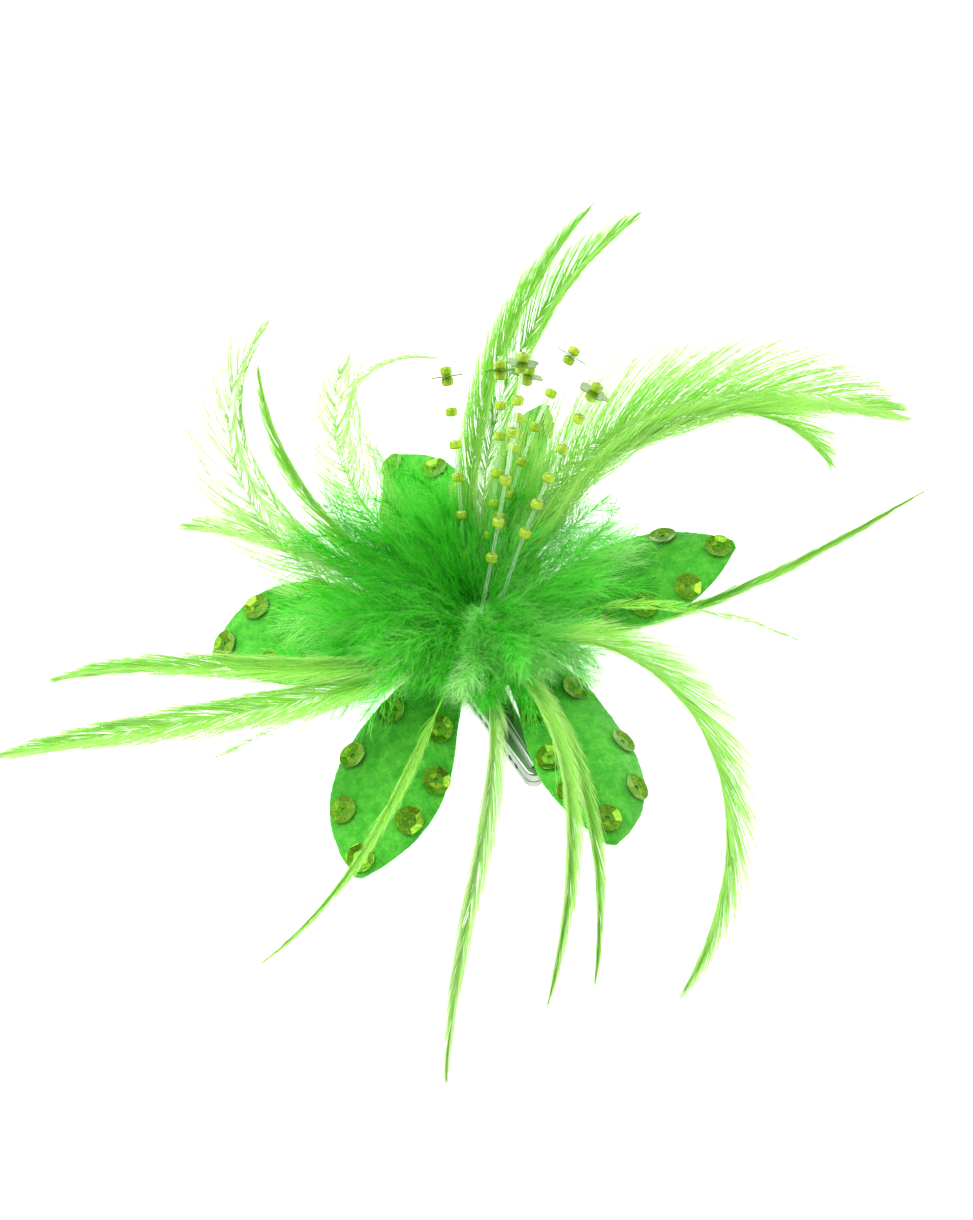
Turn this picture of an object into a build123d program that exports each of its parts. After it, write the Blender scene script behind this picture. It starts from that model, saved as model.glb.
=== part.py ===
from build123d import *
import math
import os

os.makedirs("parts", exist_ok=True)

# Millimetres and degrees. +Z is the flower's axis, away from the head; the clip lies along Y with its
# tip towards -Y. The origin is the middle of the line along which the two jaws grip the hair (z = 0).

# ---- Beak clip ----
CLIP_WIDTH = 9.0  # jaw width at the back
TIP_WIDTH = 4.6  # jaw width at the rounded tip
TIP_Y = -18.0  # front end of the jaws
JAW_BACK_Y = 13.0  # where the jaw walls stop
PIN_Y = 18.0  # hinge pin, at z = 0
TAIL_Y = 32.0  # back end of the pressed tails
CLIP_HEIGHT = 2.4  # outside of each jaw from the grip line
SHEET = 0.5  # steel sheet
GRIP_GAP = 0.15  # each jaw's tooth edge from the grip line
TOOTH_PITCH = 2.4
TOOTH_DEPTH = 0.7
PIN_DIA = 1.2
PIN_PLAY = 0.04  # pin hole radius over pin radius
EAR_PLAY = 0.3  # gap between the ears of the two jaws
TAIL_SLOPE = 29.0  # how far the lower tail flares down
SPRING_WIRE = 0.5
SPRING_RADIUS = 1.1  # mean radius of the coil
SPRING_TURNS = 5
SPRING_PITCH = 0.72

# ---- Flower base ----
FLOWER_X, FLOWER_Y = 4.0, 17.0  # the flower's axis
DISC_RADIUS = 12.0
DISC_THICK = 1.5
GLUE_GAP = 0.1
MOUND_RADIUS = 8.6
MOUND_HEIGHT = 7.2  # glue above the petals
SOCKET_RADIUS = 0.62

# ---- Petals ----
PETAL_LENGTH = 55.5
PETAL_WIDTH = 24.4
PETAL_THICK = 1.0
PETAL_ROOT = 5.0  # distance of a petal's root from the flower's axis
OUTLINE = (  # (share of the length, share of the full width)
    (0.00, 0.28),
    (0.07, 0.35),
    (0.13, 0.42),
    (0.20, 0.53),
    (0.28, 0.66),
    (0.35, 0.775),
    (0.42, 0.88),
    (0.54, 0.985),
    (0.64, 0.99),
    (0.74, 0.90),
    (0.83, 0.72),
    (0.90, 0.50),
    (0.96, 0.25),
    (1.00, 0.06),
)
PETALS = {  # heading, layer, rise, twist, curl at the tip, angle its edges fall to, side bend
    1: (206.0, 0, -12.0, 4.0, -8.0, 26.0, 26.0),
    2: (294.0, 1, 2.0, -16.0, -7.0, 34.0, -52.0),
    3: (1.0, 0, 8.0, -6.0, -8.0, 26.0, -13.0),
    4: (46.0, 1, 13.0, 72.0, -4.0, 34.0, 6.0),
    5: (82.0, 0, -7.0, -36.0, -14.0, 34.0, 3.0),
    6: (147.0, 1, -3.0, -12.0, -38.0, 16.0, 9.0),
}

# ---- Cup sequins on the petals ----
SEQUIN_DIA = 6.0
SEQUIN_FLAT = 3.0  # across the flats of the hexagon in the middle
SEQUIN_RISE = 0.55  # rim above the hexagon
SEQUIN_THICK = 0.18
SEQUIN_HOLE = 1.1
SEQUIN_LIFT = 0.18  # glue under the hexagon
SEQUIN_SPOTS = (  # (share of the petal's length, share of its half width)
    (0.35, -0.60),
    (0.57, -0.72),
    (0.76, -0.68),
    (0.915, -0.05),
    (0.75, 0.66),
    (0.55, 0.72),
    (0.33, 0.60),
)

# ---- Stamens: thread, seed beads and a flower sequin ----
THREAD_DIA = 0.3
THREAD_APART = 0.44  # between the two strands of a doubled thread
KNOT_DIA = 0.84
KNOT_LENGTH = 0.6
BEAD_DIA = 2.6
BEAD_LENGTH = 1.9
BEAD_HOLE = 1.0
FLOWER_DIA = 7.2
FLOWER_THICK = 0.25
FLOWER_HOLE = 1.0
STAMEN_ROOT = 3.2  # distance of the stamens' roots from the flower's axis
STAMENS = {  # angle of the root, heading, lift, turn, droop, beads along the thread, tip bead
    1: (135.0, 64.0, 36.0, 10.0, 6.0, (14.0, 22.5, 30.5, 37.5, 44.5), 51.0),
    2: (95.0, 45.0, 33.0, 21.0, 4.0, (17.0, 24.0, 30.5, 38.5, 45.0), 51.4),
    3: (228.0, 43.0, 55.0, 8.0, 2.0, (18.0, 26.0, 35.5, 46.0, 53.0), 60.0),
    4: (50.0, 51.0, 44.0, -7.0, 6.0, (21.0, 28.5, 36.0, 42.5), 50.6),
    5: (5.0, 61.0, 31.0, -38.0, 4.0, (19.0, 26.5, 34.0, 42.0, 50.0), 58.0),
    6: (-62.0, 35.0, 60.0, -21.0, -10.0, (24.0, 31.0, 37.5, 44.5, 52.0), 57.4),
}

# ---- Long hackle feathers ----
QUILL_DIA = 0.7
VANE_THICK = 0.9
HACKLE_ROOT = 7.0  # distance of the quill roots from the flower's axis
VANE = (  # (share of the length, share of the vane's width, share of its thickness)
    (0.16, 0.35, 1.0),
    (0.23, 0.53, 1.0),
    (0.30, 0.70, 1.0),
    (0.38, 0.87, 1.0),
    (0.45, 1.00, 1.0),
    (0.52, 0.98, 1.0),
    (0.60, 0.95, 1.0),
    (0.68, 0.86, 0.95),
    (0.75, 0.75, 0.9),
    (0.83, 0.58, 0.85),
    (0.90, 0.42, 0.8),
)
HACKLES = {  # angle of the root, its height, heading, lift, length, turn, droop, hook, vane width
    1: (55.0, 9.2, 69.0, 28.0, 96.0, -40.0, -13.0, -25.0, 9.0),
    2: (76.0, 9.8, 71.0, 30.0, 93.0, -49.0, -11.0, -4.0, 4.0),
    3: (36.0, 9.6, 53.0, 42.0, 108.0, -159.0, -56.0, 69.0, 11.0),
    4: (14.0, 9.6, 42.0, 46.0, 96.0, -58.0, -50.0, -76.0, 5.0),
    5: (-42.0, 7.3, -12.0, -22.4, 104.0, 36.0, 42.0, -26.0, 3.0),
    6: (-60.0, 8.6, -36.0, 36.0, 111.0, -109.0, -83.0, -11.0, 4.4),
    7: (-80.0, 9.8, -84.0, 23.0, 82.0, -30.0, -72.0, -12.0, 3.0),
    8: (-97.0, 8.8, -78.0, 29.0, 88.0, -75.0, -67.0, 19.0, 3.6),
    9: (-118.0, 9.8, -100.0, 15.0, 97.0, -87.0, -51.0, 67.0, 3.4),
    10: (-142.0, 8.8, -138.0, 14.0, 87.0, 25.0, -31.0, -62.0, 3.0),
    11: (-164.0, 8.4, -157.0, 26.0, 104.0, -85.0, -35.0, 45.0, 6.0),
    12: (-181.0, 9.6, -152.0, 25.0, 88.0, -151.0, -20.0, 118.0, 4.0),
    13: (163.0, 8.6, 159.0, 28.0, 96.0, -100.0, -19.0, -34.0, 9.0),
    14: (149.0, 9.8, 141.0, 23.0, 86.0, -39.0, -13.0, -68.0, 3.0),
    15: (136.0, 8.2, 123.0, 20.0, 61.0, 10.0, -22.0, 21.0, 4.0),
    16: (123.0, 10.2, 141.0, 24.0, 69.0, -47.0, 14.0, -24.0, 3.6),
    17: (109.0, 8.6, 124.0, 30.0, 63.0, -33.0, -5.0, -47.0, 5.0),
    18: (94.0, 9.8, 115.0, 18.0, 93.0, -12.0, -36.0, -132.0, 3.0),
}

# ---- Marabou tufts ----
TUFT_ROOT = 7.0
TUFT_ROOT_Z = 7.7
TUFT_LENGTH = 27.0
TUFT_WIDTH = 9.0
TUFT_THICK = 5.0
TUFTS = {  # heading, lift
    1: (20.0, 10.0),
    2: (105.0, 6.0),
    3: (128.0, 6.5),
    4: (180.0, 8.0),
    5: (242.0, 4.0),
    6: (302.0, 8.0),
}

DISC_Z = CLIP_HEIGHT
PETAL_Z = DISC_Z + DISC_THICK + GLUE_GAP
MOUND_Z = PETAL_Z + 2 * PETAL_THICK + 2 * GLUE_GAP


def save(shape, name):
    shape.label = name
    export_step(shape, f"parts/{name}.step")


def smooth(x, low, high):
    """0 below low, 1 above high, and an even curve between them."""
    x = min(1.0, max(0.0, (x - low) / (high - low)))
    return x * x * (3.0 - 2.0 * x)


def axes_of(heading, lift, roll=0.0):
    """Unit vectors along a strand, to its left and out of its face."""
    h, v, r = math.radians(heading), math.radians(lift), math.radians(roll)
    along = Vector(math.cos(h) * math.cos(v), math.sin(h) * math.cos(v), math.sin(v))
    flat = Vector(-math.sin(h), math.cos(h), 0)
    upright = along.cross(flat)
    left = flat * math.cos(r) + upright * math.sin(r)
    return along, left, along.cross(left)


def on_flower(radius, angle, z):
    """A point at this radius and angle about the flower's axis."""
    a = math.radians(angle)
    return Vector(FLOWER_X + radius * math.cos(a), FLOWER_Y + radius * math.sin(a), z)


def strand_frame(root, heading, lift, length, turn, droop, hook, s):
    """Point and axes at share s of a curving strand's length."""
    steps = 48
    point = root
    for i in range(steps):
        m = s * (i + 0.5) / steps
        along = axes_of(heading + turn * m + hook * m * m, lift + droop * m)[0]
        point = point + along * (length * s / steps)
    return (point, *axes_of(heading + turn * s + hook * s * s, lift + droop * s))


# ---------------------------------------------------------------- clip
def jaw_outline(inset):
    """Plan of a jaw: straight sides that narrow to a round tip."""
    back, tip = CLIP_WIDTH / 2 - inset, TIP_WIDTH / 2 - inset
    end = JAW_BACK_Y - inset
    nose = TIP_Y + TIP_WIDTH / 2
    return make_face(
        [
            Line((-back, end), (back, end)),
            Line((back, end), (tip, nose)),
            ThreePointArc((tip, nose), (0, nose - tip), (-tip, nose)),
            Line((-tip, nose), (-back, end)),
        ]
    )


def jaw_shell(ribbed):
    """A jaw's open tray above z = 0, with teeth along both walls and, if ribbed, a rib on its back."""
    outside = Pos(0, 0, GRIP_GAP) * extrude(jaw_outline(0), CLIP_HEIGHT - GRIP_GAP)
    outside = fillet(outside.faces().sort_by(Axis.Z)[-1].edges(), 0.7)
    inside = extrude(jaw_outline(SHEET), CLIP_HEIGHT - SHEET)
    inside = fillet(inside.faces().sort_by(Axis.Z)[-1].edges(), 0.3)
    shell = outside - inside
    if ribbed:
        rib = Pos(0, TIP_Y + 9.2, CLIP_HEIGHT) * Rot(90, 0, 0) * Cylinder(0.75, 14.0)
        shell += rib & Pos(0, TIP_Y + 9.2, CLIP_HEIGHT + 1) * Box(3, 14.0, 2 + 2 * SHEET * 0.8)
    half_pitch = TOOTH_PITCH / 2
    tooth = Polygon((0, TOOTH_DEPTH), (-half_pitch, -0.4), (half_pitch, -0.4), align=None)
    notch = Pos(0, 0, GRIP_GAP) * extrude(Plane.YZ * tooth, CLIP_WIDTH, both=True)
    count = int((JAW_BACK_Y - TIP_Y - 6) / TOOTH_PITCH)
    for i in range(count):
        shell -= Pos(0, TIP_Y + 5.4 + i * TOOTH_PITCH, 0) * notch
    return shell


def ear(x, lobe, foot):
    """A plate around the pin, of the sheet's thickness outwards from x, that stands on z = foot."""
    base = Pos(-1.0, foot * 0.93) * Rectangle(4.4, abs(foot) * 0.14)
    plate = make_hull([*Circle(lobe).edges(), *base.edges()])
    sheet = Pos(x, PIN_Y, 0) * extrude(Plane.YZ * plate, SHEET)
    return sheet - Pos(0, PIN_Y, 0) * Rot(0, 90, 0) * Cylinder(PIN_DIA / 2 + PIN_PLAY, 3 * CLIP_WIDTH)


half = CLIP_WIDTH / 2
lower_half = half - SHEET - EAR_PLAY
flat_z = CLIP_HEIGHT - SHEET

upper = jaw_shell(True)
upper += Pos(0, (JAW_BACK_Y - 1 + TAIL_Y) / 2, flat_z + SHEET / 2) * Box(
    CLIP_WIDTH, TAIL_Y - JAW_BACK_Y + 1, SHEET
)
upper += ear(half - SHEET, 1.7, flat_z) + ear(-half, 1.7, flat_z)

lower = Rot(0, 180, 0) * jaw_shell(False)
bend_y = PIN_Y + 0.45
lower += Pos(0, (JAW_BACK_Y - 1 + bend_y) / 2, -flat_z - SHEET / 2) * Box(
    2 * lower_half, bend_y - JAW_BACK_Y + 1, SHEET
)
slope = math.radians(TAIL_SLOPE)
tail_run = TAIL_Y - bend_y
tail = make_face(
    Polyline(
        (bend_y - 0.6, -flat_z),
        (bend_y, -flat_z),
        (TAIL_Y, -flat_z - tail_run * math.tan(slope)),
        (TAIL_Y - SHEET * math.sin(slope), -flat_z - tail_run * math.tan(slope) - SHEET),
        (bend_y - 0.12, -flat_z - SHEET),
        (bend_y - 0.6, -flat_z - SHEET),
        close=True,
    )
)
lower += extrude(Plane.YZ * tail, lower_half, both=True)
lower += ear(lower_half - SHEET, 1.5, -flat_z) + ear(-lower_half, 1.5, -flat_z)

pin = Pos(0, PIN_Y, 0) * Rot(0, 90, 0) * Cylinder(PIN_DIA / 2, CLIP_WIDTH + 0.4)
for side in (-1, 1):
    pin += Pos(side * (half + 0.35), PIN_Y, 0) * Rot(0, 90, 0) * Cylinder(PIN_DIA / 2 + 0.3, 0.4)

# The coil runs along the pin; one leg presses under the upper tail, the other along the lower tail.
coil = []
start_angle, end_angle = 90.0, 90.0 + 360.0 * SPRING_TURNS + 180.0 - TAIL_SLOPE
coil_length = SPRING_PITCH * (end_angle - start_angle) / 360.0
leg = 9.0
coil.append((-coil_length / 2, PIN_Y + leg, SPRING_RADIUS + 0.32))
coil.append((-coil_length / 2, PIN_Y + leg / 2, SPRING_RADIUS + 0.16))
steps = 12 * SPRING_TURNS + 5
for i in range(steps + 1):
    share = i / steps
    a = math.radians(start_angle + share * (end_angle - start_angle))
    coil.append(
        (
            coil_length * (share - 0.5),
            PIN_Y + SPRING_RADIUS * math.cos(a),
            SPRING_RADIUS * math.sin(a),
        )
    )
end_y, end_z = coil[-1][1], coil[-1][2]
for reach in (leg / 2, leg):
    coil.append((coil_length / 2, end_y + reach * math.cos(slope), end_z - reach * math.sin(slope)))
wire = Spline(*coil)
spring = sweep(Plane(origin=wire @ 0, z_dir=wire % 0) * Circle(SPRING_WIRE / 2), path=wire)

save(upper, "clip_upper_jaw")
save(lower, "clip_lower_jaw")
save(pin, "hinge_pin")
save(spring, "clip_spring")

# ---------------------------------------------------------------- felt disc
disc = Pos(FLOWER_X, FLOWER_Y, DISC_Z + DISC_THICK / 2) * Cylinder(DISC_RADIUS, DISC_THICK)
save(fillet(disc.edges(), 0.3), "felt_disc")


# ---------------------------------------------------------------- petals and their sequins
def petal_frame(n, t):
    """Middle of petal n's underside at share t of its length, with its axes."""
    heading, layer, rise, twist, curl, _, bend = PETALS[n]
    point = on_flower(PETAL_ROOT, heading, PETAL_Z + layer * (PETAL_THICK + GLUE_GAP))
    steps = 40
    for i in range(steps):
        m = t * (i + 0.5) / steps
        lift = rise * smooth(m, 0.13, 0.42) + curl * smooth(m, 0.55, 1.0)
        point = point + axes_of(heading + bend * m, lift)[0] * (PETAL_LENGTH * t / steps)
    lift = rise * smooth(t, 0.13, 0.42) + curl * smooth(t, 0.55, 1.0)
    return (point, *axes_of(heading + bend * t, lift, twist * smooth(t, 0.14, 0.5)))


def petal_width(t):
    """Width of a petal at share t of its length, along an even curve through OUTLINE."""
    for (t0, w0), (t1, w1) in zip(OUTLINE, OUTLINE[1:]):
        if t <= t1:
            return PETAL_WIDTH * (w0 + (w1 - w0) * (t - t0) / (t1 - t0))
    return PETAL_WIDTH * OUTLINE[-1][1]


def petal_point(n, t, u, height):
    """Point on petal n: t along it, u across it from -1 to 1, and height over its underside."""
    point, _, left, face = petal_frame(n, t)
    half_width = petal_width(t) / 2
    edge = math.radians(0.5 + PETALS[n][5] * smooth(t, 0.12, 0.45))
    radius = half_width / edge + height
    return (
        point
        + left * (radius * math.sin(edge * u))
        + face * (height - radius * (1 - math.cos(edge * u)))
    )


def petal(n):
    across = (-1.0, -0.5, 0.0, 0.5, 1.0)
    sections = []
    for t, _ in OUTLINE:
        top = [petal_point(n, t, u, PETAL_THICK) for u in across]
        under = [petal_point(n, t, u, 0) for u in reversed(across)]
        sections.append(
            make_face(
                [Spline(*top), Line(top[-1], under[0]), Spline(*under), Line(under[-1], top[0])]
            )
        )
    return loft(sections)


def cup_sequin():
    """A round sequin with a flat hexagon in the middle and six facets up to its rim."""
    spread = (SEQUIN_DIA - SEQUIN_FLAT) / 2 * 1.2
    rise = SEQUIN_RISE * 1.2
    reach = SEQUIN_FLAT / 2 + spread
    def cup(z):
        low = Pos(0, 0, z) * RegularPolygon(SEQUIN_FLAT / 2, 6, major_radius=False)
        high = Pos(0, 0, z + rise) * RegularPolygon(reach, 6, major_radius=False)
        return loft([low, high])
    shell = cup(0) - cup(SEQUIN_THICK)
    rim = Cylinder(SEQUIN_DIA / 2, 4) - Cylinder(SEQUIN_HOLE / 2, 4)
    return shell & rim


def sequins(n):
    cups = []
    for i, (t, u) in enumerate(SEQUIN_SPOTS):
        t += 0.014 * math.sin(2.7 * n + 1.9 * i)
        u += 0.05 * math.cos(1.3 * n + 2.3 * i)
        across = petal_point(n, t, u + 0.02, PETAL_THICK) - petal_point(n, t, u - 0.02, PETAL_THICK)
        along = petal_point(n, t + 0.01, u, PETAL_THICK) - petal_point(n, t - 0.01, u, PETAL_THICK)
        face = along.cross(across).normalized()
        seat = petal_point(n, t, u, PETAL_THICK) + face * SEQUIN_LIFT
        cups.append(Plane(origin=seat, x_dir=along, z_dir=face) * Rot(0, 0, 37 * i + 11 * n) * CUP)
    return Compound(children=cups)


CUP = cup_sequin()
for n in PETALS:
    save(petal(n), f"petal_{n}")
    save(sequins(n), f"petal_{n}_sequins")


# ---------------------------------------------------------------- strands rooted in the glue
def strand(row_root, heading, lift, length, turn, droop, hook, sizes):
    """A solid of elliptical sections; sizes gives (share of the length, width, thickness)."""
    sections = []
    for s, width, thick in sizes:
        point, along, left, _ = strand_frame(row_root, heading, lift, length, turn, droop, hook, s)
        sections.append(Plane(origin=point, x_dir=left, z_dir=along) * Ellipse(width / 2, thick / 2))
    return loft(sections)


def socket(root, heading, lift):
    """The hole in the glue around a root."""
    along = axes_of(heading, lift)[0]
    hole = extrude(Plane(origin=root - along * 0.5, z_dir=along) * Circle(SOCKET_RADIUS), 9.0)
    return hole


sockets = []
for n, (angle, z, heading, lift, length, turn, droop, hook, width) in HACKLES.items():
    root = on_flower(HACKLE_ROOT, angle, z)
    sizes = [(0.0, QUILL_DIA, QUILL_DIA), (5.0 / length, QUILL_DIA, QUILL_DIA)]
    sizes += [(s, w * width, thick * VANE_THICK) for s, w, thick in VANE]
    sizes += [(1.0, 0.5, 0.4)]
    save(strand(root, heading, lift, length, turn, droop, hook, sizes), f"hackle_{n:02d}")
    sockets.append(socket(root, heading, lift))

for n, (heading, lift) in TUFTS.items():
    root = on_flower(TUFT_ROOT, heading, TUFT_ROOT_Z)
    sizes = [
        (0.0, QUILL_DIA, QUILL_DIA),
        (0.14, QUILL_DIA, QUILL_DIA),
        (0.30, 0.45 * TUFT_WIDTH, 0.5 * TUFT_THICK),
        (0.50, 0.90 * TUFT_WIDTH, 0.9 * TUFT_THICK),
        (0.68, TUFT_WIDTH, TUFT_THICK),
        (0.85, 0.70 * TUFT_WIDTH, 0.7 * TUFT_THICK),
        (1.0, 0.6, 0.6),
    ]
    save(strand(root, heading, lift, TUFT_LENGTH, 0, 0, 0, sizes), f"marabou_{n}")
    sockets.append(socket(root, heading, lift))


# ---------------------------------------------------------------- stamens
def seed_bead():
    barrel = fillet(Cylinder(BEAD_DIA / 2, BEAD_LENGTH).edges(), 0.62)
    return barrel - Cylinder(BEAD_HOLE / 2, 2 * BEAD_LENGTH)


def flower_sequin():
    """A flat five-petalled disc with a hole for the thread."""
    lobe = 0.21 * FLOWER_DIA
    outline = Circle(0.29 * FLOWER_DIA)
    for i in range(5):
        outline += Rot(0, 0, 72 * i) * Pos(FLOWER_DIA / 2 - lobe, 0) * Circle(lobe)
    return extrude(outline - Circle(FLOWER_HOLE / 2), FLOWER_THICK / 2, both=True)


BEAD, FLOWER = seed_bead(), flower_sequin()
for n, (angle, heading, lift, turn, droop, beads, tip) in STAMENS.items():
    root = on_flower(STAMEN_ROOT, angle, MOUND_Z + MOUND_HEIGHT - 3.2)
    clear = 0.05
    flower_at = tip + BEAD_LENGTH / 2 + clear + FLOWER_THICK / 2
    top_at = flower_at + FLOWER_THICK / 2 + clear + BEAD_LENGTH / 2
    length = top_at + BEAD_LENGTH / 2 + 0.4

    def at(distance):
        return strand_frame(root, heading, lift, length, turn, droop, 0, distance / length)

    def seat(distance):
        point, along, left, _ = at(distance)
        return Plane(origin=point, x_dir=left, z_dir=along)

    threads = []
    for side in (-1, 1):
        rings = []
        for i in range(11):
            point, along, left, _ = at(length * i / 10)
            origin = point + left * (side * THREAD_APART / 2)
            rings.append(Plane(origin=origin, x_dir=left, z_dir=along) * Circle(THREAD_DIA / 2))
        threads.append(loft(rings, ruled=True))
    knot = fillet(Cylinder(KNOT_DIA / 2, KNOT_LENGTH).edges(), 0.3 * KNOT_LENGTH)
    threads.append(seat(length) * Pos(0, 0, KNOT_LENGTH / 2) * knot)
    save(Compound(children=threads), f"stamen_{n}_thread")
    save(Compound(children=[seat(d) * BEAD for d in (*beads, tip, top_at)]), f"stamen_{n}_beads")
    save(seat(flower_at) * Rot(0, 0, 23 * n) * FLOWER, f"stamen_{n}_flower")
    sockets.append(socket(root, heading, lift))

# ---------------------------------------------------------------- glue
stem = PETAL_ROOT - 0.25
top_z = MOUND_Z + MOUND_HEIGHT
mound = revolve(
    make_face(
        [
            Line((0, PETAL_Z), (stem, PETAL_Z)),
            Line((stem, PETAL_Z), (stem, MOUND_Z)),
            Line((stem, MOUND_Z), (MOUND_RADIUS - 0.3, MOUND_Z)),
            Line((MOUND_RADIUS - 0.3, MOUND_Z), (MOUND_RADIUS, MOUND_Z + 1.2)),
            Spline((MOUND_RADIUS, MOUND_Z + 1.2), (0.86 * MOUND_RADIUS, MOUND_Z + 0.62 * MOUND_HEIGHT),
                   (0.5 * MOUND_RADIUS, MOUND_Z + 0.92 * MOUND_HEIGHT), (0, top_z)),
            Line((0, top_z), (0, PETAL_Z)),
        ]
    ).moved(Location((0, 0, 0), (90, 0, 0))),
    Axis.Z,
)
mound = Pos(FLOWER_X, FLOWER_Y, 0) * mound
for hole in sockets:
    mound -= hole
save(mound, "glue_mound")
print("mound solids", len(mound.solids()))
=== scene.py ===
# %% [markdown]
# # A feather flower fascinator, finished in Blender
# The hard pieces (the beak clip, beads, sequins and the mound of glue) come from the CAD frame, in metres.
# This lesson puts the soft things on that frame: velour petals, long hackle feathers and marabou down. We
# load the frame first and keep its box, because nothing we add may make the object bigger.

# %% Load the frame
import math

import bpy
import numpy as np
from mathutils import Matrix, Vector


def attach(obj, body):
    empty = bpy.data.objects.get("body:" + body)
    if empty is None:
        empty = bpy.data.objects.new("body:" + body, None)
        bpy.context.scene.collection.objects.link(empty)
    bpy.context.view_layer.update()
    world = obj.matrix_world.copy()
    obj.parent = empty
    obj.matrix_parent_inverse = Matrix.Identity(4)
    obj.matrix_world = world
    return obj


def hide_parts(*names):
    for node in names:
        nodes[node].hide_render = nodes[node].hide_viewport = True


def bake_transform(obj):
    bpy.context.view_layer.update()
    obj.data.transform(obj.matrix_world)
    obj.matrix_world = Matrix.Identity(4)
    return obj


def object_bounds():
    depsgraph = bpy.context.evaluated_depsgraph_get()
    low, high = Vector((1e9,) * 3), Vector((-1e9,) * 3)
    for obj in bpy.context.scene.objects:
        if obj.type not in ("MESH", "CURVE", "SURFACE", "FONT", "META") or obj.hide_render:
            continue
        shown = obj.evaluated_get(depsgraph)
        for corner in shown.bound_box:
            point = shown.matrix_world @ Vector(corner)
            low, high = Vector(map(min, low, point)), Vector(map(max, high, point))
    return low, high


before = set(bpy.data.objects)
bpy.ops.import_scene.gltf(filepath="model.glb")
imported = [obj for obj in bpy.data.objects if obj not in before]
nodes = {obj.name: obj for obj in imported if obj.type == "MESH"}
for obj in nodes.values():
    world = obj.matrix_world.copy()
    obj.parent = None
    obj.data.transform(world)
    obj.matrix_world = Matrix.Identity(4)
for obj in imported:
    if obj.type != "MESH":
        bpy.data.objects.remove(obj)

MM = 0.001  # the tables below are in millimetres and degrees, as on the CAD side
scene = bpy.context.scene
cad_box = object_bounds()
CAD_SIZE = [[float(v) for v in corner] for corner in cad_box]
print("CAD box", CAD_SIZE)

# %% [markdown]
# ## The camera
# A long lens from the front left, looking down at 55 degrees. It is placed by its direction and distance
# from the middle of the flower, so that the angle is easy to read. A small lens shift moves the flower a
# little left and down in the frame without turning the camera.

# %% Camera
AZIMUTH, ELEVATION, DISTANCE = -27.0, 55.0, 0.6
AIM = np.array((4.0, 17.0, 8.0)) * MM
LENS, SHIFT = 82.74, (0.0053, 0.0164)
azimuth, elevation = math.radians(AZIMUTH), math.radians(ELEVATION)
back = np.array(
    (
        math.sin(azimuth) * math.cos(elevation),
        -math.cos(azimuth) * math.cos(elevation),
        math.sin(elevation),
    )
)
bpy.ops.object.camera_add(
    location=AIM + back * DISTANCE, rotation=(math.pi / 2 - elevation, 0.0, azimuth)
)
camera = bpy.context.object
camera.data.lens = LENS
camera.data.shift_x, camera.data.shift_y = SHIFT
scene.camera = camera
print("camera at", [round(v, 3) for v in camera.location])

# %% [markdown]
# ## Floor and light
# In a light tent soft light comes from every side, and even the floor glows a little, so thin feathers
# look lit from within. We build that with a white world, a pale floor that gives off some light, and one
# large lamp for direction. Shiny film needs something dark to mirror, so the world has one dim patch round
# the camera. The floor lies 13 mm under the object, which leaves room for the clip's lower jaw to open.

# %% Floor, world and lamp
scene.view_settings.view_transform = "Standard"
FLOOR_SIZE, FLOOR_GAP, FLOOR_GLOW = 2.4, 13.0, 0.76
TENT_LIGHT, PATCH_LIGHT = 1.12, 0.10
PATCH_EDGE, PATCH_CORE = 0.86, 0.96  # cosines of the angle from the line to the camera
floor_z = CAD_SIZE[0][2] - FLOOR_GAP * MM
bpy.ops.object.select_all(action="DESELECT")
bpy.ops.mesh.primitive_plane_add(size=FLOOR_SIZE, location=(0.0, 0.0, floor_z))
floor = bpy.context.object
floor.name = "floor"
paper = bpy.data.materials.new("white_paper")
paper.use_nodes = True
sheet = paper.node_tree.nodes["Principled BSDF"]
sheet.inputs["Base Color"].default_value = (0.9, 0.9, 0.9, 1.0)
sheet.inputs["Roughness"].default_value = 0.9
sheet.inputs["Emission Color"].default_value = (1.0, 1.0, 1.0, 1.0)
sheet.inputs["Emission Strength"].default_value = FLOOR_GLOW
floor.data.materials.append(paper)

world = bpy.data.worlds.new("light_tent")
scene.world = world
world.use_nodes = True
tree = world.node_tree
background = tree.nodes["Background"]
toward = tree.nodes.new("ShaderNodeTexCoord")
dot = tree.nodes.new("ShaderNodeVectorMath")
dot.operation = "DOT_PRODUCT"
dot.inputs[1].default_value = tuple(back)
patch = tree.nodes.new("ShaderNodeMapRange")
patch.interpolation_type = "SMOOTHSTEP"
patch.inputs["From Min"].default_value = PATCH_EDGE
patch.inputs["From Max"].default_value = PATCH_CORE
patch.inputs["To Min"].default_value = TENT_LIGHT
patch.inputs["To Max"].default_value = PATCH_LIGHT
tree.links.new(toward.outputs["Generated"], dot.inputs[0])
tree.links.new(dot.outputs["Value"], patch.inputs["Value"])
tree.links.new(patch.outputs["Result"], background.inputs["Strength"])
background.inputs["Color"].default_value = (1.0, 1.0, 1.0, 1.0)

bpy.ops.object.light_add(type="AREA", location=(-0.25, 0.28, 0.75))
lamp = bpy.context.object
lamp.name = "soft_lamp"
lamp.data.energy = 6.0
lamp.data.size = 0.5
lamp.rotation_euler = (math.radians(-20.0), math.radians(-18.0), 0.0)
print("floor at", round(floor_z, 4))

# %% [markdown]
# ## Materials
# Each finish is a small node tree on Object coordinates, which are metres here, so a noise scale of 1000
# has features of about a millimetre. `finish` makes a Principled material and hands back its tree; the
# helpers after it add what the finishes share: noise, a colour ramp and a bump.


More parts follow.
